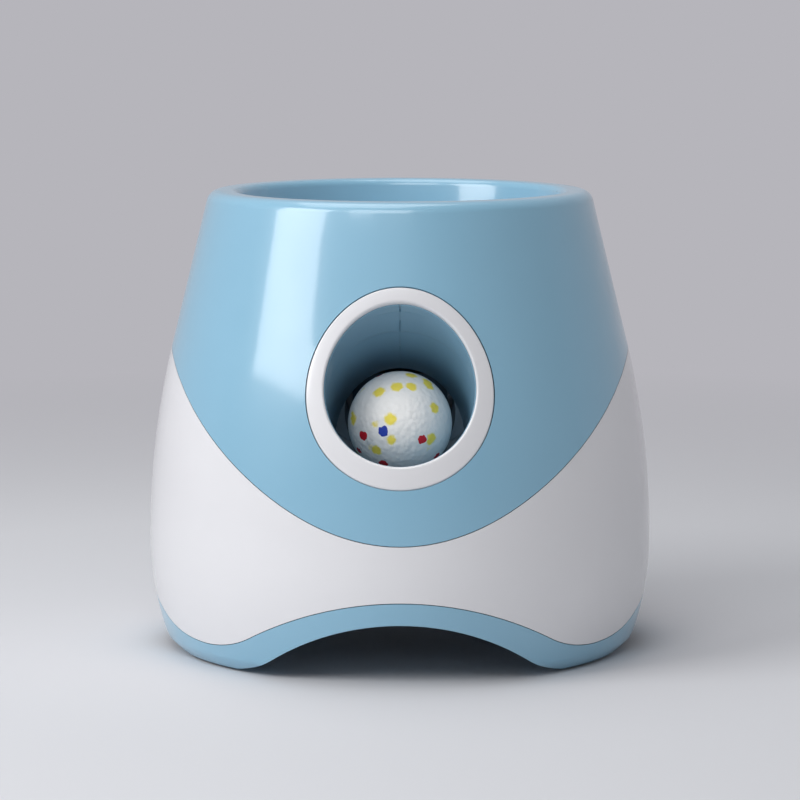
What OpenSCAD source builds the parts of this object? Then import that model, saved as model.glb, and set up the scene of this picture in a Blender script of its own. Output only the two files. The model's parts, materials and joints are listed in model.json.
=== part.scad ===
// Automatic ball launcher for small dogs: a round two-tone housing with a
// hopper on top, a tilted launch port in front, and a wound spring striker.
// +Z is up, the front faces -Y, and the origin is on the floor under the
// centre of the housing. Lengths are in millimetres, angles in degrees.

/* [Housing] */
// Largest radius of the housing
belly_r = 125; // [122:1:130]
// Height of the largest radius
belly_z = 54; // [50:1:58]
// Radius of the arc that turns in below the belly
under_arc_r = 146; // [138:1:156]
// Radius of the arc that rises above the belly
side_arc_r = 404; // [380:1:430]
// Lean of the straight upper wall
wall_lean = 13.75; // [13:0.25:14.5]
// Height of the rim
body_h = 227; // [225:1:236]
// Thickness of the moulded shells
shell_wall = 2.9; // [2.6:0.1:3.2]
// Rounding of the outer edge of the rim
rim_round = 6.5; // [5:0.5:7.5]
// Rounding of the inner edge of the rim
rim_edge = 4; // [3:0.5:5]
// Radius of the hopper mouth
mouth_r = 80; // [77:0.5:81]
// Draft of the hopper wall
hopper_draft = 9; // [6:0.5:10]
// Depth of the collar that hangs from the rim into the hopper
collar_h = 19; // [16:1:24]
// Gap of the seams between two mouldings
seam = 0.4; // [0.3:0.1:0.5]

/* [Two-tone edge] */
// Height of the blue edge at the front and back
apron_low = 68; // [64:1:72]
// Height that the edge gains towards the sides
apron_swell = 70; // [64:1:74]
// Height of the upturn at the sides
apron_flick = 12.2; // [8:0.2:16]

/* [Base] */
// Height of the arch at the front and back
arch_h = 30.3; // [26:0.5:30.5]
// Half width of the arch at the front and back
arch_half = 89; // [84:1:92]
// Radius of the crown of the front and back arch
arch_crown_r = 100; // [90:1:110]
// Height of the arch at each side
side_arch_h = 14; // [10:1:16]
// Half width of the arch at each side
side_arch_half = 62; // [56:1:66]
// Radius of the crown of the side arch
side_crown_r = 43.2; // [34:0.2:46]
// Height of the base trim at the feet
trim_foot_h = 12.4; // [11:0.2:14]
// Height of the base trim over the front and back arch
trim_front_h = 41; // [40:0.5:44]
// Height of the base trim over the side arch
trim_side_h = 28; // [26:0.5:30]
// Height of the underside of the trim above the floor
trim_z = 1.2; // [0.8:0.1:1.6]
// Height of the bevel that turns in along the foot of the trim
trim_bevel = 5; // [3:0.5:6]
// Height of the underside of the base plate
plate_z = 31; // [31:0.5:33]
// Thickness of the base plate
plate_t = 3; // [2.5:0.5:3]
// Height of a rubber foot pad
pad_h = 3; // [2.5:0.1:3.5]

/* [Launch port] */
// Tilt of the port ring
ring_tilt = 33.5; // [32:0.5:35]
// Outer radius of the port ring
ring_r = 44.2; // [43:0.2:45]
// Radius of the hole in the port ring
ring_bore_r = 35.85; // [35:0.05:36.5]
// Height where the axis of the ring meets the housing
ring_z = 142.5; // [140:0.5:144]
// Depth of the port ring
ring_depth = 8; // [7:0.5:9]
// Upward tilt of the launch funnel
funnel_tilt = 28.5; // [28:0.5:29]
// Radius of the funnel at its mouth
funnel_r = 36.5; // [36:0.1:36.8]
// Taper of the funnel wall
funnel_taper = 3.5; // [3:0.5:4]
// Thickness of the funnel wall
funnel_wall = 2.6; // [2.2:0.1:2.8]
// Distance of the end of the funnel in front of the centre of the housing
funnel_end = 46; // [46:0.5:47]

/* [Ball and cradle] */
// Radius of the ball
ball_r = 25; // [24:0.5:25]
// Distance of the resting ball in front of the centre
ball_y = 73.3; // [73:0.1:74]
// Height of the centre of the resting ball
ball_z = 119.7; // [119:0.1:120]
// Radius of the dish that holds the ball
dish_r = 57.3; // [55:0.1:60]
// Thickness of the dish and of the plate behind it
cradle_wall = 3; // [2.5:0.5:3]
// Distance of the front edge of the dish in front of the centre
dish_front = 99; // [97:0.5:100]
// Radius of the level channel that the ball rolls in from
channel_r = 27; // [26.5:0.5:27.5]
// Radius of the drop chute
chute_r = 26.5; // [26:0.5:27]
// Distance of the drop chute in front of the centre
chute_y = 14; // [14:0.5:15]
// Height of the hole in the hopper floor
hopper_hole_z = 164; // [163:0.5:166]
// Slope of the hopper floor
hopper_slope = 15; // [12:0.5:16]

/* [Striker] */
// Stroke of the striker
stroke = 59; // [57:0.5:59]
// Radius of the striker head
head_r = 18; // [16:0.5:19]
// Thickness of the striker head
head_t = 8; // [7:0.5:9]
// Thickness of the rubber bumper on the head
bumper_t = 3; // [2.5:0.5:3.5]
// Width of the striker bar
bar_w = 14; // [13:0.5:14]
// Height of the striker bar above its teeth
bar_h = 12; // [11:0.5:12]
// Distance between the two guide rods
rod_pitch = 32; // [31:0.5:33]
// Radius of a guide rod
rod_r = 2; // [1.8:0.1:2.2]
// Radius of the coil of a firing spring, at the middle of its wire
coil_r = 4.2; // [3.9:0.1:4.4]
// Radius of the spring wire
wire_r = 0.7; // [0.6:0.1:0.8]

/* [Drive] */
// Teeth of the wheel on the sector shaft
wheel_count = 40; // [38:1:40]
// Teeth of the large half of the compound gear
large_count = 36; // [34:1:36]
// Teeth of a small gear
small_count = 12; // [12:1:13]
// Width of the sector gear
sector_w = 8; // [7:0.5:8]
// Play between meshing teeth
backlash = 0.2; // [0.16:0.02:0.24]
// Distance of the sector shaft behind the centre
sector_y = 44; // [43.5:0.5:45]
// Radius of the sector shaft
shaft_r = 3; // [2.5:0.5:3]
// Running clearance of a shaft in its hole
run_fit = 0.05; // [0.03:0.01:0.08]
// Radius of the motor
motor_r = 14; // [13:0.5:14]
// Length of the motor
motor_len = 38; // [34:1:40]

/* [Battery bay] */
// Radius of a battery
cell_r = 13.1; // [12.8:0.1:13.1]
// Length of a battery
cell_len = 49; // [48:0.5:49.5]
// Distance between rows of batteries
cell_pitch = 27.4; // [27:0.1:27.6]

/* [Rear panel] */
// Width of the control panel
panel_w = 62; // [58:1:64]
// Height of the control panel
panel_h = 24; // [22:1:25]
// Height of the middle of the control panel
panel_z = 90; // [88:0.5:92]
// Radius of a push button
button_r = 6; // [5:0.5:6.5]
// Distance between the two push buttons
button_pitch = 36; // [34:1:38]
// Travel of a push button
button_travel = 1.5; // [1:0.1:1.5]
// Height of the power socket
jack_z = 54; // [52:0.5:56]
// Radius of the power socket
jack_r = 6; // [5.5:0.1:6.5]

/* [Hidden] */
$fn = 96;
fine = 240;
tall = 400;
pressure_angle = 25;
rack_module = 1.4;
sector_count = 20;
gear_module = 0.8;
// Gap between pieces that are set together by hand
fit = 0.3;

ring_y = body_r(ring_z);
rim_turn = [body_r(body_h - rim_round, rim_round), body_h - rim_round];
rim_turn_top = rim_turn[1] + rim_round * sin(wall_lean);
edge_turn = [mouth_r + rim_edge / cos(hopper_draft), body_h - rim_edge];
edge_turn_top = edge_turn[1] + rim_edge * sin(hopper_draft);
collar_z = body_h - collar_h;
collar_wall = 2.5;
bowl_wall = 2.5;
socket_h = 10;
spout_h = 8;
apron_span = knee_r(0);
apron_steps = 60;
plate_top = plate_z + plate_t;
plate_inset = shell_wall + fit;

// The feet, measured from +X
foot_t = 5;
foot_top = pad_h + foot_t;
foot_in = 96;
pad_in = foot_in + 3;
pad_w = 10;
pad_out = pad_in + pad_w;
pad_half = 6;
foot_mid = 36;
foot_turns = [foot_mid, 180 - foot_mid, 180 + foot_mid, -foot_mid];
foot_leg_r = 4.5;

// Edges seen from the front or side: half width, height, crown radius, level
front_arch = [arch_half, arch_h, arch_crown_r, 0];
side_arch = [side_arch_half, side_arch_h, side_crown_r, 0];
front_edge = [arch_half + 5, trim_front_h - trim_foot_h, arch_crown_r + 30, trim_foot_h];
side_edge = [side_arch_half + 13, trim_side_h - trim_foot_h, 94, trim_foot_h];

// The screw posts of the skirt
post_inset = 12.6;
post_r = body_r(plate_top) - post_inset;
post_h = 22;
boss_r = 4.5;
screw_r = 1.4;
post_turns = [45, 135, 225, 315];

// The funnel: a cone whose axis runs through the ring
funnel_y = ring_y + 0.2;
funnel_z = ring_z + 1;
funnel_len = 120;
funnel_start = 20;
slot_x = 36;
slot_y = 95;
slot_z = 125;
slot_h = 14;
slot_w = 4;
lug_w = 16;
lug_r = 3.6;
lug_head_r = 2.8;
lug_head_h = 1.8;
lug_places = [[-56, 156.4], [-60, 73.4]];

// The feed path
dish_z = ball_z - ball_r - fit + dish_r;
channel_z = ball_z - ball_r - fit + channel_r;
chute_wall = 2;
back_y = funnel_end - cradle_wall;
cradle_top = channel_z + channel_r + 2.6;

// The striker at rest, half a millimetre behind the ball
strike_gap = 0.5;
face_y = -ball_y + ball_r + strike_gap;
head_y = face_y + bumper_t;
bar_y = head_y + head_t;
bar_z = ball_z - bar_h / 2;
chute_back = bar_y + stroke + 2;
guide_wall = 3;
rack_dedendum = 1.25 * rack_module;
rack_pitch = PI * rack_module;
web_h = 2;
rack_line = bar_z - web_h - rack_dedendum;
rack_end = sector_y + 2 * rack_pitch;
yoke_y = chute_back + guide_wall + 1;
yoke_t = 4;
yoke_end = yoke_y + yoke_t;
yoke_half = rod_pitch / 2 + 5;
coil_turns = 10;
spring_end = yoke_end + stroke + 2 * wire_r * coil_turns + 1;
rod_z = ball_z;
bracket_t = 3;
bracket_h = 16;

// The gear train, seen from +X
sector_pitch_r = sector_count * rack_module / 2;
sector_teeth = 15;
sector_z = rack_line - sector_pitch_r;
wheel_pitch_r = wheel_count * gear_module / 2;
large_pitch_r = large_count * gear_module / 2;
small_pitch_r = small_count * gear_module / 2;
pair_angle = -20;
motor_angle = 10;
pair_y = sector_y + (wheel_pitch_r + small_pitch_r) * cos(pair_angle);
pair_z = sector_z + (wheel_pitch_r + small_pitch_r) * sin(pair_angle);
motor_y = pair_y + (large_pitch_r + small_pitch_r) * cos(motor_angle);
motor_z = pair_z + (large_pitch_r + small_pitch_r) * sin(motor_angle);
wheel_phase = 0;
pair_phase = mesh_phase(pair_angle, wheel_phase, wheel_count, small_count);
pinion_phase = mesh_phase(motor_angle, pair_phase, large_count, small_count);
wheel_x = sector_w / 2 + 2;
wheel_w = 5;
large_x = wheel_x + wheel_w + 2;
large_w = 4;
gear_plate_x = 24;
gear_plate_t = 3;
axle_r = 2;
motor_x = gear_plate_x + gear_plate_t;
motor_shaft_r = 1.15;
motor_boss_r = 4.5;
motor_screw_pitch = 16;

// The chassis under the works
chassis_z = 65;
chassis_t = 3;
chassis_top = chassis_z + chassis_t;
chassis_x = 56;
chassis_front = 58;
chassis_back = 98;
foot_screw_y = [sector_y - 8, chassis_back - 9];
leg_x = 47;
leg_y = 49;
leg_r = 5;

// The battery bay
bay_wall = 1.8;
contact_t = 0.8;
nub_h = 1.4;
cell_z = plate_top + cell_r + 0.7;
bay_x = cell_len + nub_h + contact_t + 0.2;
bay_y = cell_pitch + cell_r + 0.5;
bay_top = cell_z + cell_r + 0.4;
door_t = 2.5;
door_gap = 0.4;

// The rear panel and its board
board_y = 110.4;
board_t = 1.6;
board_x = 32;
switch_h = 3.2;
button_back = board_y + board_t + switch_h + button_travel + fit;
flange_t = 0.6;
post_x = 25;
post_w = 6;
light_r = 2.4;

blue = "#84b4d0";
white = "#e6e6ea";
slate = "#3f5566";
dark = "#2b2f34";
steel = "#b9bdc2";
brass = "#c8a24a";
nylon = "#d9d4c5";

// Radii of the housing at a height, and inset square to its face
function under_r(inset) = under_arc_r - inset;
function side_r(inset) = side_arc_r - inset;
function knee_z(inset) = belly_z + side_r(inset) * sin(wall_lean);
function knee_r(inset) = belly_r - side_arc_r + side_r(inset) * cos(wall_lean);
function body_r(z, inset = 0) =
    z < belly_z
        ? belly_r - under_arc_r + sqrt(pow(under_r(inset), 2) - pow(z - belly_z, 2))
        : z < knee_z(inset)
            ? belly_r - side_arc_r + sqrt(pow(side_r(inset), 2) - pow(z - belly_z, 2))
            : knee_r(inset) - (z - knee_z(inset)) * tan(wall_lean);
// Radius of the hopper wall at a height
function hopper_r(z) = mouth_r - (body_h - rim_edge - z) * tan(hopper_draft);
// Height of the two-tone edge at a distance from the middle
function apron_z(x) = apron_low + apron_swell * pow(x / apron_span, 2)
    + apron_flick * pow(x / apron_span, 10);

// Turn of the second gear that puts its space on the first gear's tooth
function mesh_phase(line, phase, first, second) =
    line + 180 - (180 - (line - phase) * first) / second;
// A point on the flank of an involute tooth
function involute(angle) = tan(angle) * 180 / PI - angle;
function flank_angle(r, pitch_r, half_tooth) =
    half_tooth + involute(pressure_angle)
    - involute(acos(min(1, pitch_r * cos(pressure_angle) / r)));
function polar(r, angle) = [r * cos(angle), r * sin(angle)];

// What lies inside the face of the housing, between two heights
module body_region(inset, low, high) {
    intersection() {
        translate([0, low]) square([2 * belly_r, high - low]);
        union() {
            intersection() {
                translate([belly_r - under_arc_r, belly_z]) circle(under_r(inset), $fn = fine);
                translate([0, belly_z - tall]) square([tall, tall]);
            }
            intersection() {
                translate([belly_r - side_arc_r, belly_z]) circle(side_r(inset), $fn = fine);
                translate([0, belly_z]) square([tall, knee_z(inset) - belly_z]);
            }
            polygon([[0, knee_z(inset)], [knee_r(inset), knee_z(inset)],
                [body_r(body_h + 20, inset), body_h + 20], [0, body_h + 20]]);
        }
    }
}

module body_solid(inset, low, high) {
    rotate_extrude($fn = fine) body_region(inset, low, high);
}

// A layer of the housing between two insets
module body_layer(outer, inner, low, high) {
    rotate_extrude($fn = fine) difference() {
        body_region(outer, low, high);
        body_region(inner, low - 1, high + 1);
    }
}

// Carries an outline in x and z through the housing from front to back
module through_front() {
    rotate([90, 0, 0]) linear_extrude(tall, center = true) children();
}

// Carries an outline in y and z through the housing from side to side
module through_side() {
    rotate([90, 0, 90]) linear_extrude(tall, center = true) children();
}

// What lies under the two-tone edge
module below_apron(rise) {
    reach = belly_r + 5;
    through_front() polygon(concat([[-reach, -1]],
        [for (i = [0 : apron_steps]) let (x = reach * (2 * i / apron_steps - 1)) [x, apron_z(x) + rise]],
        [[reach, -1]]));
}

// What lies under a low hump, whose round crown runs out level at both ends
module hump(half, h, crown_r) {
    toe_r = (half * half + h * h) / (2 * h) - crown_r;
    turn_x = crown_r * half / (crown_r + toe_r);
    turn_z = h - crown_r + sqrt(pow(crown_r, 2) - pow(turn_x, 2));
    intersection() {
        translate([0, h - crown_r]) circle(crown_r, $fn = fine);
        translate([-turn_x, 0]) square([2 * turn_x, h + 1]);
    }
    difference() {
        translate([-half, -tall / 2]) square([2 * half, tall / 2 + turn_z]);
        for (side = [-1, 1]) translate([side * half, toe_r]) circle(toe_r, $fn = fine);
    }
}

// What lies under an edge: a hump and the level ground on both sides of it
module below_edge(edge, rise) {
    translate([0, edge[3] + rise]) {
        hump(edge[0], edge[1], edge[2]);
        for (side = [-1, 1]) translate([side * (edge[0] + tall / 4), -tall / 4])
            square([tall / 2, tall / 2], center = true);
    }
}

module above_edge(edge, rise) {
    difference() {
        square([tall, tall], center = true);
        below_edge(edge, rise);
    }
}

// Keeps what lies above two edges, one seen from the front and one from the side
module keep_above(front, side, rise) {
    intersection() {
        children();
        through_front() above_edge(front, rise);
        through_side() above_edge(side, rise);
    }
}

// What lies under the upper edge of the base trim
module below_trim(rise) {
    reach = front_edge[0];
    intersection() {
        through_front() below_edge(front_edge, rise);
        cube([2 * reach, tall, tall], center = true);
    }
    for (side = [-1, 1]) intersection() {
        through_side() below_edge(side_edge, rise);
        translate([side * (reach + tall / 4), 0, 0]) cube([tall / 2, tall, tall], center = true);
    }
}

// The tilted line that the port ring is centred on, opening to the front
module along_ring() {
    translate([0, -ring_y, ring_z]) rotate([90 - ring_tilt, 0, 0]) children();
}

module ring_hole(r) {
    along_ring() translate([0, 0, -40]) cylinder(r = r, h = 90);
}

module panel_outline(grow) {
    r = panel_h / 2 + grow;
    translate([0, panel_z]) {
        for (side = [-1, 1]) translate([side * (panel_w - panel_h) / 2, 0]) circle(r);
        square([panel_w - panel_h, 2 * r], center = true);
    }
}

module to_rear() {
    rotate([90, 0, 180]) linear_extrude(belly_r + 5) children();
}

// The blue top: outer wall, rolled rim and the collar in the hopper
module upper_profile() {
    difference() {
        union() {
            body_region(0, 0, rim_turn_top);
            translate(rim_turn) circle(rim_round);
            translate([0, rim_turn_top - 1]) square([rim_turn[0], body_h - rim_turn_top + 1]);
        }
        hopper_region(0);
        difference() {
            translate([0, edge_turn_top]) square([edge_turn[0], rim_edge]);
            translate(edge_turn) circle(rim_edge);
        }
        difference() {
            body_region(shell_wall, -1, body_h - shell_wall);
            intersection() {
                hopper_region(collar_wall);
                translate([0, collar_z]) square([tall, tall]);
            }
        }
    }
}

// What lies inside the hopper wall
module hopper_region(grow) {
    polygon([[0, 0], [hopper_r(0) + grow, 0], [hopper_r(body_h + 1) + grow, body_h + 1],
        [0, body_h + 1]]);
}

module upper_shell() color(blue) {
    difference() {
        rotate_extrude($fn = fine) upper_profile();
        below_apron(seam / 2);
        ring_hole(ring_r + seam);
        to_rear() panel_outline(fit);
    }
}

// The hopper, whose sloped floor leads to the drop chute
module hopper_floor(drop, r) {
    rise = 60;
    translate([0, -chute_y, hopper_hole_z - drop])
        cylinder(r1 = r, r2 = r + rise / tan(hopper_slope), h = rise);
}

module hopper_bowl() color(blue) {
    socket_z = collar_z - 4;
    difference() {
        union() {
            intersection() {
                rotate_extrude($fn = fine) intersection() {
                    hopper_region(bowl_wall);
                    square([tall, collar_z - seam]);
                }
                hopper_floor(bowl_wall, chute_r + 0.4);
            }
            translate([0, -chute_y, hopper_hole_z - spout_h]) cylinder(r = chute_r + bowl_wall, h = spout_h);
            rotate_extrude($fn = fine) difference() {
                intersection() {
                    hopper_region(collar_wall + fit + 2);
                    translate([0, socket_z]) square([tall, socket_h]);
                }
                hopper_region(collar_wall + fit);
            }
            rotate_extrude($fn = fine) difference() {
                intersection() {
                    hopper_region(collar_wall + fit + 2);
                    translate([0, socket_z]) square([tall, 3]);
                }
                hopper_region(0);
            }
        }
        intersection() {
            rotate_extrude($fn = fine) hopper_region(0);
            hopper_floor(0, chute_r);
        }
        translate([0, -chute_y, hopper_hole_z - 20]) cylinder(r = chute_r, h = 21);
    }
}

// The white side wall, with posts that stand on the base plate
module side_skirt() color(white) {
    difference() {
        union() {
            keep_above(front_edge, side_edge, seam / 2) intersection() {
                body_layer(0, shell_wall, 2, knee_z(0) + 20);
                below_apron(-seam / 2);
            }
            for (turn = post_turns) rotate(turn) skirt_post();
        }
        for (turn = post_turns) rotate(turn) translate([post_r, 0, plate_top - 1])
            cylinder(r = screw_r, h = post_h);
        translate([0, belly_r + 5, jack_z]) rotate([90, 0, 0]) cylinder(r = jack_r + fit, h = 14);
    }
}

// A screw post that stands on the base plate, ribbed to the wall
module skirt_post() {
    translate([post_r, 0, plate_top]) cylinder(r = boss_r, h = post_h);
    intersection() {
        translate([post_r, -1.5, plate_top]) cube([20, 3, post_h]);
        body_solid(shell_wall / 2, plate_top, plate_top + post_h);
    }
}

// The blue band round the foot, cut by the four arches
module base_trim() color(blue) {
    difference() {
        union() {
            keep_above(front_arch, side_arch, 0) intersection() {
                rotate(45) body_layer(0, shell_wall, trim_z, trim_front_h + 5);
                below_trim(-seam / 2);
            }
            keep_above(front_arch, side_arch, 0) rotate_extrude($fn = fine) difference() {
                body_region(shell_wall / 2, pad_h, foot_top);
                square([foot_in, tall]);
            }
        }
        bevel_cut();
    }
}

// The turned-in edge along the bottom of the trim
module bevel_cut() {
    rotate_extrude($fn = fine) polygon([[body_r(0) - 2.5, -1], [body_r(0) - 2.5, trim_z],
        [body_r(trim_z + trim_bevel) + 0.01, trim_z + trim_bevel], [belly_r + 5, trim_z + trim_bevel],
        [belly_r + 5, -1]]);
}

// Rubber pads under the feet, each a stretch of a ring
module foot_pads() color(dark) {
    for (turn = foot_turns) rotate(turn - pad_half) rotate_extrude(angle = 2 * pad_half)
        translate([pad_in, 0]) square([pad_out - pad_in, pad_h]);
}

// The floor of the housing, with legs over the feet and posts for the board
module base_plate() color(slate) {
    difference() {
        union() {
            body_solid(plate_inset, plate_z, plate_top);
            for (turn = foot_turns) rotate(turn) translate([(pad_in + pad_out) / 2, 0, foot_top])
                cylinder(r = foot_leg_r, h = plate_z - foot_top + 1);
            for (side = [-1, 1]) translate([side * post_x - post_w / 2, board_y - 4, plate_top - 1])
                cube([post_w, 4, panel_z + 8 - plate_top]);
        }
        translate([0, 0, plate_z]) cube([2 * bay_x, 2 * bay_y, 3 * plate_t], center = true);
        for (turn = post_turns) rotate(turn) translate([post_r, 0, plate_z - 1])
            cylinder(r = screw_r + 0.3, h = plate_t + 2);
    }
}

module base_screws() color(steel) {
    for (turn = post_turns) rotate(turn) translate([post_r, 0, 0]) {
        translate([0, 0, plate_z - 2]) cylinder(r = 3, h = 2);
        translate([0, 0, plate_z - 0.5]) cylinder(r = screw_r - 0.1, h = 16);
    }
}

// The white ring round the port, flush with the housing
module port_ring() color(white) {
    difference() {
        intersection() {
            union() {
                ring_hole(ring_r);
                intersection() {
                    ring_hole(ring_r + 3);
                    body_solid(shell_wall + fit, 80, body_h - 15);
                }
            }
            body_layer(0, ring_depth, 80, body_h - 10);
            translate([-tall / 2, -tall, 0]) cube([tall, tall, tall]);
        }
        translate([0, 0, 1]) ring_hole(ring_bore_r);
    }
}

// The line of the launch funnel, opening to the front
module along_funnel() {
    translate([0, -funnel_y, funnel_z]) rotate([90 - funnel_tilt, 0, 0]) children();
}

// A cone round the funnel's axis, grown by the thickness of its wall
module funnel_cone(grow) {
    along_funnel() translate([0, 0, -funnel_len])
        cylinder(r1 = funnel_r - funnel_len * tan(funnel_taper) + grow,
            r2 = funnel_r + funnel_start * tan(funnel_taper) + grow, h = funnel_len + funnel_start);
}

// The span of the funnel, from behind the ring to the plate of the cradle
module funnel_span() {
    intersection() {
        body_solid(ring_depth + fit, 50, body_h - 10);
        translate([-tall / 2, -tall - funnel_end, 0]) cube([tall, tall, tall]);
    }
}

module lugs(r, width) {
    for (place = lug_places) translate([-width / 2, place[0], place[1]]) rotate([0, 90, 0])
        cylinder(r = r, h = width);
}

module launch_housing() {
    difference() {
        intersection() {
            union() {
                funnel_cone(funnel_wall);
                lugs(lug_r, lug_w);
            }
            funnel_span();
        }
        funnel_cone(0);
        lugs(1.5, lug_w + 2);
        for (place = lug_places) translate([lug_w / 2, place[0], place[1]]) rotate([0, 90, 0])
            cylinder(r = lug_head_r + fit, h = 2 * lug_head_h);
        for (side = [-1, 1]) translate([side * slot_x, -slot_y, slot_z])
            cube([16, slot_w + 0.2, slot_h + 0.2], center = true);
    }
}

module launch_housing_left() color(blue) {
    intersection() {
        launch_housing();
        translate([-tall - 0.05, -tall / 2, 0]) cube([tall, tall, tall]);
    }
}

module launch_housing_right() color(blue) {
    intersection() {
        launch_housing();
        translate([0.05, -tall / 2, 0]) cube([tall, tall, tall]);
    }
}

module housing_screws() color(steel) {
    for (place = lug_places) {
        translate([lug_w / 2, place[0], place[1]]) rotate([0, 90, 0])
            cylinder(r = lug_head_r, h = lug_head_h);
        translate([-lug_w / 2 + 2, place[0], place[1]]) rotate([0, 90, 0]) cylinder(r = 1.4, h = lug_w - 1.5);
    }
}

// Smoked windows of the hand sensor, flush with the funnel
module sensor_window(side) {
    difference() {
        translate([side * slot_x, -slot_y, slot_z]) cube([8, slot_w, slot_h], center = true);
        funnel_cone(0);
    }
}

module sensor_window_left() color(dark) {
    sensor_window(-1);
}

module sensor_window_right() color(dark) {
    sensor_window(1);
}

module sensor_boards() color("#2f6b45") {
    for (side = [-1, 1]) translate([side * (slot_x + 4 + board_t / 2), -slot_y, slot_z])
        cube([board_t, 8, slot_h + 6], center = true);
}

// The dish under the ball and the plate behind it
module ball_cradle() color(slate) {
    difference() {
        union() {
            intersection() {
                translate([0, -ball_y, dish_z]) sphere(dish_r + cradle_wall);
                funnel_cone(-0.3);
                translate([-tall / 2, -dish_front, 0]) cube([tall, dish_front - funnel_end + 1, 115]);
            }
            translate([-38, -funnel_end, chassis_top]) cube([76, cradle_wall, cradle_top - chassis_top]);
        }
        intersection() {
            translate([0, -ball_y, dish_z]) sphere(dish_r);
            translate([-tall / 2, -tall - funnel_end, 0]) cube([tall, tall, tall]);
        }
        translate([0, -ball_y, channel_z]) rotate([-90, 0, 0]) cylinder(r = channel_r, h = ball_y);
    }
}

// The channel behind the cradle and the chute that drops balls into it
module feed_chute() color(slate) {
    top = hopper_hole_z - spout_h - fit;
    outer = chute_r + chute_wall;
    difference() {
        union() {
            translate([0, -back_y, channel_z]) rotate([-90, 0, 0])
                cylinder(r = channel_r + chute_wall, h = back_y + chute_back);
            translate([0, -chute_y, channel_z]) cylinder(r = outer, h = top - channel_z);
            for (side = [-1, 1]) translate([side * 13 - 1.5, -back_y, chassis_top])
                cube([3, back_y + chute_back, channel_z - chassis_top - channel_r * 0.86]);
            translate([-gear_plate_x, chute_back, chassis_top])
                cube([2 * gear_plate_x, guide_wall, rod_z + 12 - chassis_top]);
        }
        translate([0, -back_y - 1, channel_z]) rotate([-90, 0, 0])
            cylinder(r = channel_r, h = back_y + chute_back + 1);
        translate([0, -chute_y, channel_z]) cylinder(r = chute_r, h = top);
        bar_slot();
        for (side = [-1, 1]) rod(side, chute_back + 1, tall, run_fit);
        translate([-wheel_x - 8, chute_back - 1, chassis_top - 1])
            cube([2 * (wheel_x + 8), guide_wall + 2, 18]);
    }
}

// The slot that guides the bar, with ledges under its flanges
module bar_slot() {
    play = 0.4;
    translate([-bar_w / 2 - play, chute_back - 1, bar_z - play])
        cube([bar_w + 2 * play, guide_wall + 2, bar_h + 2 * play]);
    translate([-sector_w / 2 - play, chute_back - 1, rack_line - rack_module - 1])
        cube([sector_w + 2 * play, guide_wall + 2, bar_z - rack_line + rack_module + 1]);
}

module ball() color("#f2f2ee") {
    translate([0, -ball_y, ball_z]) sphere(ball_r);
}

module rod(side, from, to, grow) {
    translate([side * rod_pitch / 2, from, rod_z]) rotate([-90, 0, 0])
        cylinder(r = rod_r + grow, h = to - from);
}

// The striker: a toothed bar with a yoke that the springs push on
module striker_rack() color(nylon) {
    translate([-bar_w / 2, bar_y, bar_z]) cube([bar_w, rack_end - bar_y, bar_h]);
    difference() {
        translate([-yoke_half, yoke_y, bar_z]) cube([2 * yoke_half, yoke_t, bar_h]);
        for (side = [-1, 1]) rod(side, yoke_y - 1, yoke_end + 1, 0.25);
    }
    rotate([90, 0, 90]) translate([0, 0, -sector_w / 2]) linear_extrude(sector_w) {
        translate([sector_y - (sector_teeth + 0.5) * rack_pitch, rack_line + rack_dedendum])
            square([(sector_teeth + 2) * rack_pitch, web_h + 1]);
        for (i = [-1 : sector_teeth]) translate([sector_y - (i - 0.5) * rack_pitch, rack_line])
            rack_tooth();
    }
}

module rack_tooth() {
    half = rack_pitch / 4 - backlash / 2;
    lean = tan(pressure_angle);
    root = rack_dedendum + 0.1;
    polygon([[-half - root * lean, root], [-half + rack_module * lean, -rack_module],
        [half - rack_module * lean, -rack_module], [half + root * lean, root]]);
}

module striker_head() color(slate) {
    translate([0, head_y, ball_z]) rotate([-90, 0, 0]) {
        cylinder(r = head_r, h = head_t * 0.5);
        translate([0, 0, head_t * 0.5]) cylinder(r1 = head_r, r2 = bar_w / 2 + 3, h = head_t * 0.5);
    }
}

// The bumper, dished to the ball
module striker_bumper() color(dark) {
    translate([0, face_y, ball_z]) rotate([-90, 0, 0]) cylinder(r = head_r - 2, h = bumper_t);
}

module guide_rods() color(steel) {
    for (side = [-1, 1]) rod(side, chute_back + 1 + run_fit, spring_end + bracket_t, 0);
}

// A coil as one unbroken tube, with its ends square to the seats
module coil_spring(len, turns) {
    sides = 5;
    steps = 12;
    rings = turns * steps;
    gap = wire_r;
    function ring_point(i, j) = let (a = 360 * i / steps, b = 360 * j / sides, r = coil_r + wire_r * cos(b))
        [r * cos(a), r * sin(a), gap + (len - 2 * gap) * i / rings + wire_r * sin(b)];
    points = [for (i = [0 : rings]) for (j = [0 : sides - 1]) ring_point(i, j)];
    walls = [for (i = [0 : rings - 1]) for (j = [0 : sides - 1]) let (k = (j + 1) % sides)
        for (face = [[i * sides + j, (i + 1) * sides + j, (i + 1) * sides + k],
            [i * sides + j, (i + 1) * sides + k, i * sides + k]]) face];
    start = [[for (j = [0 : sides - 1]) j]];
    finish = [[for (j = [sides - 1 : -1 : 0]) rings * sides + j]];
    polyhedron(points, concat(walls, start, finish), convexity = 10);
}

module firing_springs() color(steel) {
    for (side = [-1, 1]) translate([side * rod_pitch / 2, yoke_end + 0.05, rod_z]) rotate([-90, 0, 0])
        coil_spring(spring_end - yoke_end - 0.1, coil_turns);
}

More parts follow.
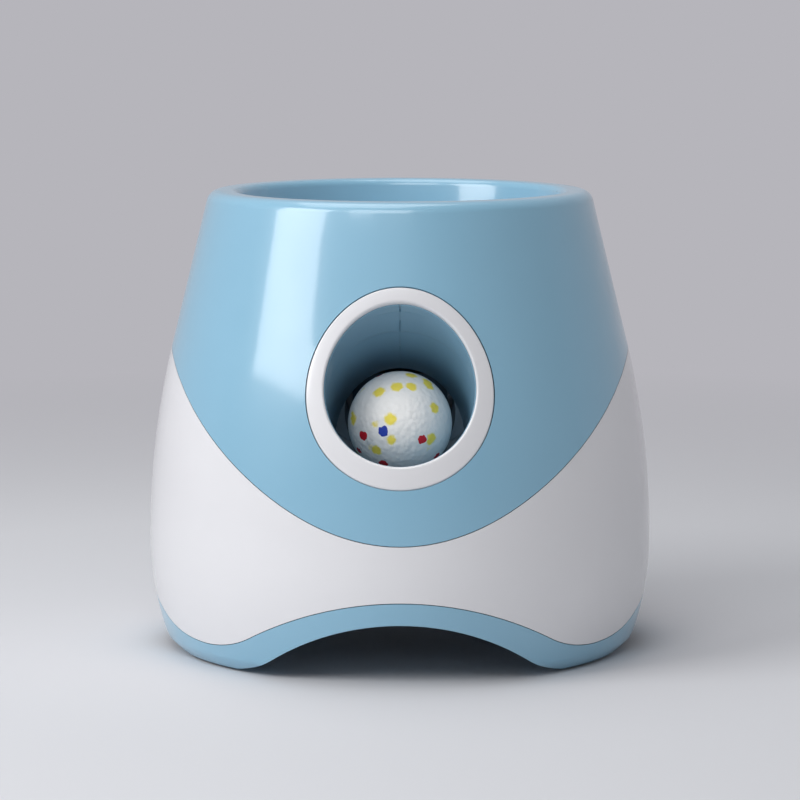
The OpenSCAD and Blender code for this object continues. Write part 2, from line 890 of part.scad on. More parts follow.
module spring_bracket() color(steel) {
    difference() {
        translate([-gear_plate_x, spring_end, rod_z - bracket_h / 2])
            cube([2 * gear_plate_x, bracket_t, bracket_h]);
        for (side = [-1, 1]) rod(side, spring_end - 1, spring_end + bracket_t + 1, run_fit);
        translate([-bar_w / 2 - 1, spring_end - 1, rod_z - bracket_h / 2 - 1])
            cube([bar_w + 2, bracket_t + 2, bracket_h / 2 + bar_h / 2 + 2]);
    }
}

// One tooth of a gear, pointing along +X
module tooth(module_size, count) {
    pitch_r = module_size * count / 2;
    half = (90 - backlash / 2 / pitch_r * 180 / PI) / count;
    root_r = pitch_r - 1.25 * module_size;
    base_r = max(root_r + 0.1, pitch_r * cos(pressure_angle));
    tip_r = pitch_r + module_size;
    steps = 4;
    radii = [for (i = [0 : steps]) base_r + (tip_r - base_r) * i / steps];
    polygon(concat([polar(root_r - 0.5, -flank_angle(base_r, pitch_r, half))],
        [for (r = radii) polar(r, -flank_angle(r, pitch_r, half))],
        [for (i = [steps : -1 : 0]) polar(radii[i], flank_angle(radii[i], pitch_r, half))],
        [polar(root_r - 0.5, flank_angle(base_r, pitch_r, half))]));
}

module gear_outline(module_size, count, teeth, phase) {
    circle(module_size * (count / 2 - 1.25));
    for (i = [0 : teeth - 1]) rotate(phase + i * 360 / count) tooth(module_size, count);
}

// Sets a flat gear outline upright at a place in y and z, from x onward
module upright(y, z, x, width) {
    translate([x, y, z]) rotate([90, 0, 90]) linear_extrude(width) children();
}

module shaft_hole(y, z, r) {
    translate([-40, y, z]) rotate([0, 90, 0]) cylinder(r = r, h = 80);
}

module sector_gear() color(nylon) {
    difference() {
        upright(sector_y, sector_z, -sector_w / 2, sector_w)
            gear_outline(rack_module, sector_count, sector_teeth, 90);
        shaft_hole(sector_y, sector_z, shaft_r);
    }
}

module drive_wheel() color(nylon) {
    difference() {
        upright(sector_y, sector_z, wheel_x, wheel_w)
            gear_outline(gear_module, wheel_count, wheel_count, wheel_phase);
        shaft_hole(sector_y, sector_z, shaft_r);
        for (turn = [0 : 60 : 300]) translate([wheel_x - 1, sector_y, sector_z]) rotate([turn, 0, 0])
            translate([0, wheel_pitch_r * 0.6, 0]) rotate([0, 90, 0]) cylinder(r = 2.4, h = wheel_w + 2);
    }
}

module sector_shaft() color(steel) {
    translate([-gear_plate_x - gear_plate_t, sector_y, sector_z]) rotate([0, 90, 0])
        cylinder(r = shaft_r, h = 2 * (gear_plate_x + gear_plate_t));
}

module compound_gear() color(nylon) {
    difference() {
        union() {
            upright(pair_y, pair_z, wheel_x - 0.5, wheel_w + 2.6)
                gear_outline(gear_module, small_count, small_count, pair_phase);
            upright(pair_y, pair_z, large_x, large_w)
                gear_outline(gear_module, large_count, large_count, pair_phase);
        }
        shaft_hole(pair_y, pair_z, axle_r + run_fit);
    }
}

module compound_axle() color(steel) {
    translate([-gear_plate_x - gear_plate_t, pair_y, pair_z]) rotate([0, 90, 0])
        cylinder(r = axle_r, h = 2 * (gear_plate_x + gear_plate_t));
}

// The motor, hung outside the right gearbox plate

module motor() color(steel) {
    translate([motor_x, motor_y, motor_z]) rotate([0, 90, 0]) difference() {
        union() {
            cylinder(r = motor_r, h = motor_len);
            translate([0, 0, motor_len]) cylinder(r = 5, h = 2);
            translate([0, 0, -gear_plate_t + 0.5]) cylinder(r = motor_boss_r, h = gear_plate_t);
        }
        translate([0, 0, -gear_plate_t - 1]) cylinder(r = motor_shaft_r + run_fit, h = 16);
    }
}

module motor_pinion() color(brass) {
    upright(motor_y, motor_z, large_x - 0.5, large_w + 1)
        gear_outline(gear_module, small_count, small_count, pinion_phase);
    translate([large_x, motor_y, motor_z]) rotate([0, 90, 0])
        cylinder(r = motor_shaft_r, h = motor_x + 9 - large_x);
}

module motor_screws() color(steel) {
    for (side = [-1, 1]) translate([gear_plate_x - 1.6, motor_y, motor_z + side * motor_screw_pitch / 2])
        rotate([0, 90, 0]) cylinder(r = 2.4, h = 1.6);
}

// A side plate of the gearbox, as an outline in y and z
module gear_plate_outline() {
    front = chute_back + guide_wall + fit;
    translate([front, chassis_top])
        square([chassis_back - 2 - front, sector_z + 16 - chassis_top]);
    translate([front, rod_z - bracket_h / 2])
        square([spring_end + bracket_t - front, bracket_h]);
}

// The plate on the right, with two feet for its screws
module gear_plate() {
    difference() {
        union() {
            upright(0, 0, gear_plate_x, gear_plate_t) gear_plate_outline();
            for (y = foot_screw_y) translate([gear_plate_x, y - 5, chassis_top])
                cube([gear_plate_t + 9, 10, 2]);
        }
        shaft_hole(sector_y, sector_z, shaft_r + run_fit);
        shaft_hole(pair_y, pair_z, axle_r + 0.02);
        shaft_hole(motor_y, motor_z, motor_boss_r + 0.1);
    }
}

module gearbox_plate_left() color(steel) {
    mirror([1, 0, 0]) gear_plate();
}

module gearbox_plate_right() color(steel) {
    gear_plate();
}

module gearbox_screws() color(steel) {
    for (side = [-1, 1]) for (y = foot_screw_y)
        translate([side * (gear_plate_x + gear_plate_t + 5), y, chassis_top + 2]) cylinder(r = 2.6, h = 1.8);
}

// The chassis that bridges the battery bay and carries the works
module chassis() color(dark) {
    difference() {
        union() {
            translate([-chassis_x, -chassis_front, chassis_z])
                cube([2 * chassis_x, chassis_front + chassis_back, chassis_t]);
            for (x = [-leg_x, leg_x]) for (y = [-leg_y, leg_y]) translate([x, y, plate_top])
                cylinder(r = leg_r, h = chassis_z - plate_top + 1);
        }
        for (x = [-24, 24]) for (y = [-20, 14]) translate([x - 14, y - 12, chassis_z - 1])
            cube([28, 24, chassis_t + 2]);
    }
}

module battery_box() color(dark) {
    difference() {
        translate([-bay_x - bay_wall, -bay_y - bay_wall, plate_top])
            cube([2 * (bay_x + bay_wall), 2 * (bay_y + bay_wall), bay_top + bay_wall - plate_top]);
        translate([-bay_x, -bay_y, plate_top - 1])
            cube([2 * bay_x, 2 * bay_y, bay_top - plate_top + 1]);
    }
}

module cell_rows() {
    for (row = [-1 : 1]) translate([0, row * cell_pitch, cell_z]) rotate([0, 90, 0]) children();
}

module batteries() color(brass) {
    cell_rows() for (x = [-cell_len - nub_h - 0.1, 0.1]) translate([0, 0, x]) {
        cylinder(r = cell_r, h = cell_len);
        cylinder(r = 3.2, h = cell_len + nub_h);
    }
}

module battery_contacts() color(steel) {
    cell_rows() for (side = [-1, 1]) translate([0, 0, side * (bay_x - contact_t / 2)])
        cube([18, 20, contact_t], center = true);
}

// The battery door, flush with the base plate
module battery_door() color(slate) {
    door_x = bay_x - door_gap;
    door_y = bay_y - door_gap;
    difference() {
        translate([-door_x, -door_y, plate_z]) cube([2 * door_x, 2 * door_y, door_t]);
        for (i = [-2 : 2]) translate([i * 6 - 1, -door_y + 5, plate_z - 1]) cube([2, 16, 2]);
    }
}

// The circuit board behind the rear panel
module control_board() color("#2f6b45") {
    translate([-board_x, board_y, jack_z - 12]) cube([2 * board_x, board_t, panel_z - jack_z + 24]);
    translate([-10, board_y - 3, panel_z - 14]) cube([14, 3, 10]);
    translate([12, board_y, jack_z + 12]) rotate([90, 0, 0]) cylinder(r = 4, h = 9);
}

module at_buttons() {
    for (side = [-1, 1]) translate([side * button_pitch / 2, 0, panel_z]) children();
}

module tact_switches() color(dark) {
    at_buttons() {
        translate([-3, board_y + board_t, -3]) cube([6, switch_h - 1, 6]);
        translate([0, board_y + board_t, 0]) rotate([-90, 0, 0]) cylinder(r = 1.7, h = switch_h);
    }
}

module buzzer() color(dark) {
    translate([-12, board_y, jack_z + 6]) rotate([90, 0, 0]) difference() {
        cylinder(r = 6, h = 7);
        translate([0, 0, 6]) cylinder(r = 1, h = 2);
    }
}

// The control panel, let into the rear of the blue top
module control_panel() color(slate) {
    difference() {
        intersection() {
            to_rear() panel_outline(0);
            body_layer(0, shell_wall, panel_z - panel_h, panel_z + panel_h);
        }
        at_buttons() rotate([-90, 0, 0]) cylinder(r = button_r + fit, h = tall);
        translate([0, 0, panel_z]) rotate([-90, 0, 0]) cylinder(r = light_r + 0.1, h = tall);
    }
}

module push_button(side) {
    top = sqrt(pow(body_r(panel_z), 2) - pow(button_pitch / 2, 2)) + 1;
    translate([side * button_pitch / 2, 0, panel_z]) rotate([-90, 0, 0]) {
        translate([0, 0, button_back]) cylinder(r = button_r, h = top - button_back);
        translate([0, 0, button_back]) cylinder(r = button_r + 1, h = flange_t);
    }
}

module power_button() color(white) {
    push_button(-1);
}

module distance_button() color(white) {
    push_button(1);
}

module status_light() color("#d8f0d8") {
    top = body_r(panel_z + light_r);
    translate([0, board_y + board_t, panel_z]) rotate([-90, 0, 0]) cylinder(r = light_r, h = top - board_y - board_t);
}

// The power socket at the back
module power_socket() color(dark) {
    face = sqrt(pow(body_r(jack_z), 2) - pow(jack_r, 2)) - 0.4;
    translate([0, board_y + board_t, jack_z]) rotate([-90, 0, 0]) {
        difference() {
            cylinder(r = jack_r, h = face - board_y - board_t);
            translate([0, 0, 3]) cylinder(r = 2.9, h = tall);
        }
        cylinder(r = 0.9, h = face - board_y - board_t - 2);
    }
}

upper_shell();
hopper_bowl();
side_skirt();
base_trim();
base_plate();
foot_pads();
port_ring();
launch_housing_left();
launch_housing_right();
housing_screws();
ball_cradle();
sensor_window_left();
sensor_window_right();
sensor_boards();
feed_chute();
ball();
striker_rack();
striker_head();
striker_bumper();
guide_rods();
firing_springs();
spring_bracket();
sector_gear();
drive_wheel();
sector_shaft();
compound_gear();
compound_axle();
motor();
motor_pinion();
motor_screws();
gearbox_plate_left();
gearbox_plate_right();
gearbox_screws();
chassis();
battery_box();
batteries();
battery_contacts();
battery_door();
control_board();
tact_switches();
buzzer();
control_panel();
power_button();
distance_button();
status_light();
power_socket();
base_screws();
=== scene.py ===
import json
import math

import bmesh
import bpy
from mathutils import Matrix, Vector


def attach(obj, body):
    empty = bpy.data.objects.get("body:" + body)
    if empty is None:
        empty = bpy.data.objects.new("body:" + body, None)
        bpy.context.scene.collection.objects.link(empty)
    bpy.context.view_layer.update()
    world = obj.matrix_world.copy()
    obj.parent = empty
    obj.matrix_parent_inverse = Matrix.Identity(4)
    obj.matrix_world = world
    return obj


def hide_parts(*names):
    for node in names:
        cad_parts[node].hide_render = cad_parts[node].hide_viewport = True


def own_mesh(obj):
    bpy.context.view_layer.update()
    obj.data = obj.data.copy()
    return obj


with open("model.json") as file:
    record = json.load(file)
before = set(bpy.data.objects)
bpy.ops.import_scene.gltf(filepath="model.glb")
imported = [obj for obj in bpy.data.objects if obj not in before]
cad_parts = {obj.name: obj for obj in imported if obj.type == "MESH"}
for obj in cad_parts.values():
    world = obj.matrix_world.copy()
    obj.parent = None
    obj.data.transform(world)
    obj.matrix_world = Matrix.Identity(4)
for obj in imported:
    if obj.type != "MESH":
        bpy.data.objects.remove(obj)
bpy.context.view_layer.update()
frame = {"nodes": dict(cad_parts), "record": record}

# Lengths are in metres, in the part's own frame: +Z is up and the port faces -Y

# The housing's face: its widest radius and height, the arcs below and above, and the straight lean
BELLY_R, BELLY_Z, UNDER_ARC, SIDE_ARC = 0.125, 0.054, 0.146, 0.404
WALL_LEAN = math.radians(13.75)

# The port's ring; its bore stands a little higher than its outer edge
RING_Z, RING_TILT, RING_R, RING_DEPTH = 0.1425, math.radians(33.5), 0.0442, 0.0075
BORE_R, BORE_RISE = 0.03585, 0.0018
TURNS_OF_PORT = 240

# The launch funnel behind the ring
FUNNEL_TILT, FUNNEL_R, FUNNEL_TAPER = math.radians(28.5), 0.0365, math.radians(3.5)
FUNNEL_RISE, FUNNEL_GAP = 0.001, 0.0002

BALL_CENTRE = Vector((0, -0.0733, 0.1197))
BALL_R = 0.025

# Edges sharper than this are creased and rounded; points this near are joined, and edges this
# short are dropped
SHARP_ANGLE = math.radians(28)
JOIN_NEARER, DROP_SHORTER = 2e-6, 1e-6
EDGE_RADII = {
    "upper_shell": 0.0003, "side_skirt": 0.0003, "base_trim": 0.0014, "hopper_bowl": 0.0005,
    "foot_pads": 0.0004, "launch_housing_left": 0.0003, "launch_housing_right": 0.0003,
    "ball_cradle": 0.0004, "control_panel": 0.0004, "power_button": 0.0006,
    "distance_button": 0.0006, "battery_door": 0.0005, "base_plate": 0.0004,
    "power_socket": 0.0003, "feed_chute": 0.0003,
}
EDGE_SEGMENTS = 3

# Nodes shown by a form that is built here, and nodes given a lighter copy of their slot's slate:
# painted light that brightens the cradle in the port and the base plate under the arches, in shade
BUILT_HERE = ("ball", "port_ring", "firing_springs")
PAINTED_LIGHT_SLATE_NODES = ("ball_cradle", "base_plate")

# Nearly all of a noise texture's values lie between these two
NOISE_LOW, NOISE_HIGH = 0.3, 0.7

# Colour sockets of the mix node, which has sockets of the same names for each kind of data
MIX_FIRST, MIX_SECOND, MIX_RESULT = 6, 7, 2

COAT_ROUGHNESS, COAT_IOR = 0.11, 1.6
MATT = {"grain": 1500, "depth": 0.00003, "coat": 0}

# The ball's flecks: the middle and half width of the span of chances that takes the colour, the
# blur of a fleck's edge, and the colour
FLECKS = (
    (0.26, 0.26, 0.12, "#f4e35c"),
    (0.6, 0.08, 0.015, "#cc1028"),
    (0.73, 0.05, 0.015, "#163aa8"),
)
FLECK_REACH = 0.27


def add_object(name, data):
    made = bpy.data.objects.new(name, data)
    bpy.context.scene.collection.objects.link(made)
    return made


# The camera stands where the photograph was taken from
def make_camera():
    data = bpy.data.cameras.new("camera")
    data.lens = 163.35
    data.sensor_width = 36
    data.clip_start = 0.05
    data.clip_end = 20
    camera = add_object("camera", data)
    camera.location = (0, -1.8, 0.34986)
    camera.rotation_euler = (math.radians(82.773), 0, 0)
    bpy.context.scene.camera = camera


# Colours are given as the sRGB value they should show, and nodes take them as linear light
def colour(code):
    parts = [int(code[i:i + 2], 16) / 255 for i in (1, 3, 5)]
    linear = [p / 12.92 if p <= 0.04045 else ((p + 0.055) / 1.055) ** 2.4 for p in parts]
    return (*linear, 1)


class Shader:
    """A node material whose surface detail follows the object's own coordinates."""

    def __init__(self, name, base, roughness, metallic=0.0, coat=0.0):
        self.material = bpy.data.materials.new(name)
        self.material.use_nodes = True
        self.material.diffuse_color = colour(base)
        self.tree = self.material.node_tree
        self.surface = self.tree.nodes["Principled BSDF"]
        self.surface.inputs["Base Color"].default_value = colour(base)
        self.surface.inputs["Roughness"].default_value = roughness
        self.surface.inputs["Metallic"].default_value = metallic
        self.surface.inputs["Coat Weight"].default_value = coat
        self.place = self.node("ShaderNodeTexCoord").outputs["Object"]

    def node(self, kind, **settings):
        made = self.tree.nodes.new(kind)
        for key, value in settings.items():
            setattr(made, key, value)
        return made

    # A socket is fed by another node's output or by a plain value
    def feed(self, value, socket):
        if isinstance(value, bpy.types.NodeSocket):
            self.tree.links.new(value, socket)
        else:
            socket.default_value = value

    def noise(self, scale, detail, output="Fac"):
        made = self.node("ShaderNodeTexNoise")
        made.inputs["Scale"].default_value = scale
        made.inputs["Detail"].default_value = detail
        self.feed(self.place, made.inputs["Vector"])
        return made.outputs[output]

    def cells(self, scale, place):
        made = self.node("ShaderNodeTexVoronoi")
        made.inputs["Scale"].default_value = scale
        self.feed(place, made.inputs["Vector"])
        return made

    def spread(self, value, low, high, to_low, to_high):
        made = self.node("ShaderNodeMapRange")
        for key, number in (("From Min", low), ("From Max", high), ("To Min", to_low), ("To Max", to_high)):
            made.inputs[key].default_value = number
        self.feed(value, made.inputs["Value"])
        return made.outputs["Result"]

    def mix(self, share, first, second):
        made = self.node("ShaderNodeMix", data_type="RGBA")
        self.feed(share, made.inputs["Factor"])
        self.feed(first, made.inputs[MIX_FIRST])
        self.feed(second, made.inputs[MIX_SECOND])
        return made.outputs[MIX_RESULT]

    def combine(self, operation, *values):
        made = self.node("ShaderNodeMath", operation=operation)
        for value, socket in zip(values, made.inputs):
            self.feed(value, socket)
        return made.outputs[0]

    def bump(self, height, depth, strength):
        made = self.node("ShaderNodeBump")
        made.inputs["Distance"].default_value = depth
        made.inputs["Strength"].default_value = strength
        self.feed(height, made.inputs["Height"])
        self.feed(made.outputs["Normal"], self.surface.inputs["Normal"])

    def vary_roughness(self, value, low, high):
        self.feed(self.spread(value, NOISE_LOW, NOISE_HIGH, low, high), self.surface.inputs["Roughness"])

    def vary_colour(self, value, low, high):
        share = self.spread(value, NOISE_LOW, NOISE_HIGH, 0, 1)
        self.feed(self.mix(share, colour(low), colour(high)), self.surface.inputs["Base Color"])


# Moulded plastic: faint flow in the colour, uneven gloss and a fine skin under a clear coat
def moulded(name, base, shade, roughness, grain=420, depth=0.000008, coat=0.8):
    made = Shader(name, base, roughness, coat=coat)
    made.vary_colour(made.noise(scale=14, detail=2), base, shade)
    made.vary_roughness(made.noise(scale=60, detail=4), roughness - 0.04, roughness + 0.06)
    made.bump(made.noise(scale=grain, detail=2), depth, strength=0.18)
    made.surface.inputs["Coat Roughness"].default_value = COAT_ROUGHNESS
    made.surface.inputs["Coat IOR"].default_value = COAT_IOR
    return made.material


# Turned or drawn metal, with fine pits and a little dulling
def metal(name, base, roughness):
    made = Shader(name, base, roughness, metallic=1.0)
    made.vary_colour(made.noise(scale=80, detail=5), base, "#8c8f94")
    made.vary_roughness(made.noise(scale=240, detail=5), roughness - 0.06, roughness + 0.12)
    made.bump(made.noise(scale=1400, detail=2), depth=0.00004, strength=0.15)
    return made.material


def rubber(name, base):
    made = Shader(name, base, roughness=0.7)
    made.vary_colour(made.noise(scale=90, detail=4), base, "#3a3d42")
    made.vary_roughness(made.noise(scale=200, detail=4), 0.62, 0.8)
    made.bump(made.noise(scale=1600, detail=3), depth=0.0001, strength=0.35)
    return made.material


def circuit(name):
    made = Shader(name, "#2c6b45", roughness=0.42)
    made.vary_colour(made.noise(scale=320, detail=1), "#22583a", "#347a52")
    made.bump(made.noise(scale=700, detail=1), depth=0.00005, strength=0.3)
    return made.material


# Places pushed about by noise, and moved so that the flecks fall much as in the photograph
def ragged_place(made):
    push = made.node("ShaderNodeVectorMath", operation="SCALE")
    push.inputs["Scale"].default_value = 0.0022
    made.feed(made.noise(scale=420, detail=2, output="Color"), push.inputs[0])
    moved = made.node("ShaderNodeMapping")
    moved.inputs["Location"].default_value = (0.013, 0.0, 0.021)
    made.feed(made.place, moved.inputs["Vector"])
    pushed = made.node("ShaderNodeVectorMath", operation="ADD")
    made.feed(moved.outputs["Vector"], pushed.inputs[0])
    made.feed(push.outputs[0], pushed.inputs[1])
    return pushed.outputs[0]


# Bead foam: soft cells, soft yellow beads and crisp red and blue flecks
def bead_foam(name):
    made = Shader(name, "#f0f0ee", roughness=0.6)
    bead = made.cells(360, made.place)
    fleck = made.cells(111, ragged_place(made))
    chance = made.node("ShaderNodeSeparateColor")
    made.feed(fleck.outputs["Color"], chance.inputs["Color"])
    body = colour("#f4f4f2")
    for middle, half_width, blur, shade in FLECKS:
        near = made.spread(fleck.outputs["Distance"], FLECK_REACH, FLECK_REACH + blur, 1, 0)
        picked = made.combine("COMPARE", chance.outputs["Red"], middle, half_width)
        body = made.mix(made.combine("MULTIPLY", picked, near), body, colour(shade))
    made.feed(body, made.surface.inputs["Base Color"])
    made.bump(made.spread(bead.outputs["Distance"], 0, 0.7, 1, 0), depth=0.0005, strength=0.55)
    made.surface.inputs["Subsurface Weight"].default_value = 0.1
    made.surface.inputs["Subsurface Radius"].default_value = (0.004, 0.004, 0.004)
    return made.material


def make_materials():
    return {
        "shell_blue": moulded("shell_blue", "#86b6cf", "#84b4cd", 0.34),
        "funnel_blue": moulded("funnel_blue", "#7ba5bd", "#78a2ba", 0.4, coat=0.2),
        "shell_white": moulded("shell_white", "#e2e2e5", "#e0e0e3", 0.34),
        "slate_plastic": moulded("slate_plastic", "#465d6f", "#415768", 0.5, **MATT),
        # A lighter copy of the slate with painted light, for the cradle in the port and the base plate
        # under the arches
        "slate_with_painted_light": moulded("slate_with_painted_light", "#8299aa", "#7d94a5", 0.45, coat=0.1),
        "dark_plastic": moulded("dark_plastic", "#26292e", "#1f2226", 0.52, **MATT),
        "smoked_window": moulded("smoked_window", "#0e1114", "#12161a", 0.12,
                                 grain=500, depth=0.00002, coat=0.6),
        "clear_lens": moulded("clear_lens", "#cfeccf", "#c3e4c4", 0.3, grain=700, depth=0.00004, coat=0.2),
        "nylon": moulded("nylon", "#dcd8cc", "#d2cdbf", 0.45, grain=1200, depth=0.00006, coat=0),
        "steel": metal("steel", "#b9bdc2", 0.32),
        "brass": metal("brass", "#c8a24a", 0.28),
        "cell_jacket": moulded("cell_jacket", "#b98c3a", "#a97e31", 0.34,
                               grain=500, depth=0.00003, coat=0.3),
        "board": circuit("board"),
        "rubber": rubber("rubber", "#23262a"),
        "bead_foam": bead_foam("bead_foam"),
    }


def link_piece(name, mesh, body, material):
    made = add_object(name, mesh)
    made.data.materials.clear()
    made.data.materials.append(material)
    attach(made, body)
    return made


# A visible moulding: the node's form with joined faces and softly rounded edges
def rounded(node, body, material):
    mesh = frame["nodes"][node].data.copy()
    work = bmesh.new()
    work.from_mesh(mesh)
    bmesh.ops.remove_doubles(work, verts=work.verts, dist=JOIN_NEARER)
    bmesh.ops.dissolve_degenerate(work, edges=work.edges, dist=DROP_SHORTER)
    for face in work.faces:
        face.smooth = True
    for edge in work.edges:
        edge.smooth = len(edge.link_faces) == 2 and edge.calc_face_angle(0) < SHARP_ANGLE
    work.to_mesh(mesh)
    work.free()
    made = link_piece(node + "_form", mesh, body, material)
    bevel = made.modifiers.new("soft_edge", "BEVEL")
    bevel.width = EDGE_RADII[node]
    bevel.segments = EDGE_SEGMENTS
    bevel.limit_method = "ANGLE"
    bevel.angle_limit = SHARP_ANGLE
    bevel.use_clamp_overlap = True
    bevel.harden_normals = True
    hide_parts(node)


# Radius of the housing's face at a height
def face_r(z):
    knee_z = BELLY_Z + SIDE_ARC * math.sin(WALL_LEAN)
    knee_r = BELLY_R - SIDE_ARC + SIDE_ARC * math.cos(WALL_LEAN)
    if z < BELLY_Z:
        return BELLY_R - UNDER_ARC + math.sqrt(UNDER_ARC ** 2 - (z - BELLY_Z) ** 2)
    if z < knee_z:
        return BELLY_R - SIDE_ARC + math.sqrt(SIDE_ARC ** 2 - (z - BELLY_Z) ** 2)
    return knee_r - (z - knee_z) * math.tan(WALL_LEAN)


# The two directions of an axis that leans up out of the port: along it, and square to it upwards
def leaning(tilt):
    return Vector((0, -math.cos(tilt), math.sin(tilt))), Vector((0, math.sin(tilt), math.cos(tilt)))


# A point sunk below the housing's face, at a radius and turn about the port's axis. The face is
# found by halving the stretch that crosses it.
def port_point(radius, turn, sunk):
    out, up = leaning(RING_TILT)
    inward = max(0, min(1, (RING_R - radius) / (RING_R - BORE_R)))
    start = Vector((0, -face_r(RING_Z), RING_Z)) + inward * BORE_RISE * up
    start += radius * (math.cos(turn) * Vector((1, 0, 0)) + math.sin(turn) * up)
    inside, outside, halvings = -0.06, 0.06, 40
    for _ in range(halvings):
        middle = (inside + outside) / 2
        point = start + middle * out
        if math.hypot(point.x, point.y) < face_r(point.z):
            inside = middle
        else:
            outside = middle
    return start + (inside - sunk) * out


# A point on the launch funnel's wall, at a length along its axis and a distance in from it
def funnel_point(along, turn, clear):
    out, up = leaning(FUNNEL_TILT)
    start = Vector((0, -face_r(RING_Z) - FUNNEL_GAP, RING_Z + FUNNEL_RISE)) + along * out
    radius = FUNNEL_R + along * math.tan(FUNNEL_TAPER) - clear
    return start + radius * (math.cos(turn) * Vector((1, 0, 0)) + math.sin(turn) * up)


# A mesh swept through rows of points, each a closed loop. The sweep joins its last row to its
# first if closed, and has a cap at both ends if not.
def swept(name, rows, closed):
    work = bmesh.new()
    grid = [[work.verts.new(point) for point in row] for row in rows]
    for i in range(len(rows) if closed else len(rows) - 1):
        for j in range(len(rows[0])):
            after, beside = (i + 1) % len(rows), (j + 1) % len(rows[0])
            face = work.faces.new((grid[i][j], grid[after][j], grid[after][beside], grid[i][beside]))
            face.smooth = True
    if not closed:
        work.faces.new(grid[0])
        work.faces.new(grid[-1])
    bmesh.ops.recalc_face_normals(work, faces=work.faces)
    mesh = bpy.data.meshes.new(name)
    work.to_mesh(mesh)
    work.free()
    return mesh


# A quarter round at the ring's bore (side 1) or outer edge (side -1), as pairs of a radius and a
# depth below the face
def quarter(r, radius, side, steps=7):
    turns = [math.pi / 2 * i / steps for i in range(steps + 1)]
    if side < 0:
        turns.reverse()
    return [(r + side * radius * (1 - math.cos(t)), radius * (1 - math.sin(t))) for t in turns]


# The white ring, rounded at its lip
def make_ring(materials):
    lip, outer_edge = 0.0014, 0.0007
    profile = [(BORE_R, RING_DEPTH)] + quarter(BORE_R, lip, 1)
    profile += quarter(RING_R, outer_edge, -1) + [(RING_R, RING_DEPTH)]
    rows = [[port_point(r, 2 * math.pi * i / TURNS_OF_PORT, sunk) for r, sunk in profile]
            for i in range(TURNS_OF_PORT)]
    made = link_piece("port_ring_form", swept("port_ring_form", rows, True), "root",
                      materials["shell_white"])
    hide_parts("port_ring")


# The two halves of the blue lining behind the ring, with a seam between them above and below.
# Each starts below the ring's lip and thins out towards its end on the funnel's wall.
def make_lining(materials):
    seam, gap, below_lip, depth = 0.0035, 0.00004, 0.0024, -0.02
    thick_at_lip, thick_at_end = 0.0005, 0.0002
    spots = (0, 0.02, 0.25, 0.5, 0.75, 0.98, 1)
    steps = TURNS_OF_PORT // 2
    for side, name in ((1, "port_lining_right"), (-1, "port_lining_left")):
        rows = []
        for i in range(steps + 1):
            turn = side * (-math.pi / 2 + seam + (math.pi - 2 * seam) * i / steps)
            turn = turn if side > 0 else math.pi + turn
            lip_in = port_point(BORE_R - thick_at_lip, turn, below_lip)
            lip_out = port_point(BORE_R - gap, turn, below_lip)
            deep_in = funnel_point(depth, turn, thick_at_end)
            deep_out = funnel_point(depth, turn, gap)
            inner = [lip_in.lerp(deep_in, k) for k in spots]
            outer = [lip_out.lerp(deep_out, k) for k in reversed(spots)]
            rows.append(inner + outer)
        link_piece(name, swept(name, rows, False), "root", materials["funnel_blue"])


# How far along its axis a spring's wire has risen, where its first and last turn are closed
def spring_rise(gone, turns, closed, pitch):
    closed_turns = min(gone, 1) + max(0, gone - turns + 1)
    open_turns = min(max(gone, 1), turns - 1) - 1
    return closed * closed_turns + pitch * open_turns


# The two firing springs; they shorten as the striker is drawn back
def make_springs(materials):
    turns, around, sides = 11, 24, 10
    start, end, closed = 0.03233, 0.10607, 0.00145
    coil_r, wire_r, rod_x, rod_z = 0.0042, 0.0007, 0.016, 0.1197
    pitch = (end - start - 2 * wire_r - 2 * closed) / (turns - 2)
    for side, name in ((-1, "firing_spring_left_form"), (1, "firing_spring_right_form")):
        rows = []
        for i in range(turns * around + 1):
            gone = i / around
            rise = spring_rise(gone, turns, closed, pitch)
            row = []
            for j in range(sides):
                lean = 2 * math.pi * j / sides
                radius = coil_r + wire_r * math.cos(lean)
                row.append(Vector((side * rod_x + radius * math.cos(2 * math.pi * gone),
                                   start + wire_r + rise + wire_r * math.sin(lean),
                                   rod_z + radius * math.sin(2 * math.pi * gone))))
            rows.append(row)
        made = link_piece(name, swept(name, rows, False), "root", materials["steel"])
        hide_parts("firing_springs")
        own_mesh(made)


# The ball: a fine sphere with a slight ripple, never outside the CAD ball
def make_ball(materials):
    waves_x, waves_y, waves_z, dip = 1900, 1750, 1820, 0.0016
    work = bmesh.new()
    bmesh.ops.create_icosphere(work, subdivisions=6, radius=BALL_R)
    for vert in work.verts:
        wave = math.sin(vert.co.x * waves_x) * math.sin(vert.co.y * waves_y) * math.sin(vert.co.z * waves_z)
        vert.co *= 1 - dip * (0.5 + 0.5 * wave)
        vert.co += BALL_CENTRE
    for face in work.faces:
        face.smooth = True
    mesh = bpy.data.meshes.new("bead_ball")
    work.to_mesh(mesh)
    work.free()
    made = link_piece("bead_ball", mesh, "launch_ball", materials["bead_foam"])
    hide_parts("ball")


# Every node gets its material: on a form with soft edges, on a form built here or on itself
def dress_nodes(materials):
    slots = {s["node"]: s["material_slot"] for s in frame["record"]["subparts"]}
    bodies = {n: b for b, names in frame["record"]["behaviour"]["bodies"].items() for n in names}
    for node, holder in frame["nodes"].items():
        slot = slots[node]
        if node in EDGE_RADII:
            # The cradle and the base plate take the lighter slate: painted light on parts that lie in shade
            finish = materials["slate_with_painted_light" if node in PAINTED_LIGHT_SLATE_NODES else slot]
            rounded(node, bodies[node], finish)
        elif node not in BUILT_HERE:
            holder.data.materials.clear()
            holder.data.materials.append(materials[slot])
    make_ball(materials)
    make_ring(materials)
    make_lining(materials)
    make_springs(materials)


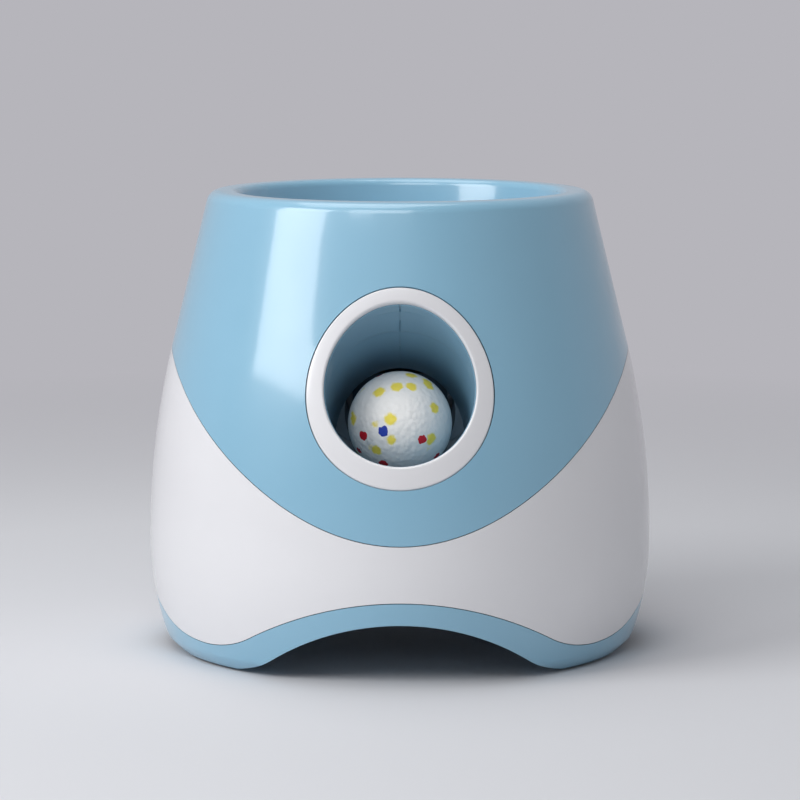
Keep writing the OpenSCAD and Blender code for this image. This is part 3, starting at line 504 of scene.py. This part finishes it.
# A floor, a soft bend and the wall behind, in one sheet
def sweep_mesh():
    wall_y, wall_top, bend, steps, reach, width = 2.6, 12.0, 0.6, 24, 40.0, 40.0
    line = [(-reach, 0.0)]
    for i in range(steps + 1):
        turn = math.pi / 2 * i / steps
        line.append((wall_y - bend + bend * math.sin(turn), bend - bend * math.cos(turn)))
    line.append((wall_y, wall_top))
    work = bmesh.new()
    rows = [[work.verts.new((x, y, z)) for x in (-width, width)] for y, z in line]
    for low, high in zip(rows, rows[1:]):
        work.faces.new((low[0], low[1], high[1], high[0])).smooth = True
    mesh = bpy.data.meshes.new("sweep")
    work.to_mesh(mesh)
    work.free()
    return mesh


# A plain pale surface that lights the part and takes its shadow. Further from the part, rays from
# the camera, a mirror or glass see a flat backdrop in its place.
def sweep_material():
    near, far = 0.4, 1.15
    pale = Shader("pale_sweep", "#d8d9dd", roughness=0.75)
    pale.vary_colour(pale.noise(scale=2, detail=1), "#d8d9dd", "#d5d6da")
    distance = pale.node("ShaderNodeVectorMath", operation="LENGTH")
    pale.feed(pale.place, distance.inputs[0])
    rays = pale.node("ShaderNodeLightPath")
    seen = rays.outputs["Is Camera Ray"]
    for kind in ("Is Glossy Ray", "Is Transmission Ray"):
        seen = pale.combine("MAXIMUM", seen, rays.outputs[kind])
    share = pale.combine("MULTIPLY", seen, pale.spread(distance.outputs["Value"], near, far, 0, 1))
    backdrop = pale.node("ShaderNodeEmission")
    backdrop.inputs["Color"].default_value = colour("#b6b5bb")
    blend = pale.node("ShaderNodeMixShader")
    pale.feed(share, blend.inputs["Fac"])
    pale.feed(pale.surface.outputs["BSDF"], blend.inputs[1])
    pale.feed(backdrop.outputs["Emission"], blend.inputs[2])
    pale.feed(blend.outputs["Shader"], pale.tree.nodes["Material Output"].inputs["Surface"])
    return pale.material


def make_stage():
    made = add_object("sweep", sweep_mesh())
    made.data.materials.append(sweep_material())


def area_light(name, place, size, power):
    data = bpy.data.lights.new(name, "AREA")
    data.shape = "RECTANGLE"
    data.size, data.size_y = size
    data.energy = power
    made = add_object(name, data)
    part_middle = Vector((0, 0, 0.12))
    made.location = place
    made.rotation_euler = (part_middle - Vector(place)).to_track_quat("-Z", "Y").to_euler()


def make_lights():
    area_light("softbox_left", place=(-1.27, -0.69, 0.95), size=(0.88, 0.95), power=14.5)
    area_light("softbox_front", place=(-0.3, -1.35, 1.35), size=(1.0, 0.7), power=7.5)
    area_light("softbox_top", place=(-0.25, 0.1, 1.45), size=(1.1, 0.9), power=6.5)
    area_light("fill_right", place=(1.45, -0.68, 0.5), size=(1.5, 1.1), power=0.4)
    world = bpy.data.worlds.new("studio")
    world.use_nodes = True
    background = world.node_tree.nodes["Background"]
    background.inputs["Color"].default_value = (0.85, 0.85, 0.87, 1)
    background.inputs["Strength"].default_value = 0.38
    bpy.context.scene.world = world
    bpy.context.scene.view_settings.view_transform = "Standard"


make_camera()
finishes = make_materials()
dress_nodes(finishes)
make_stage()
make_lights()
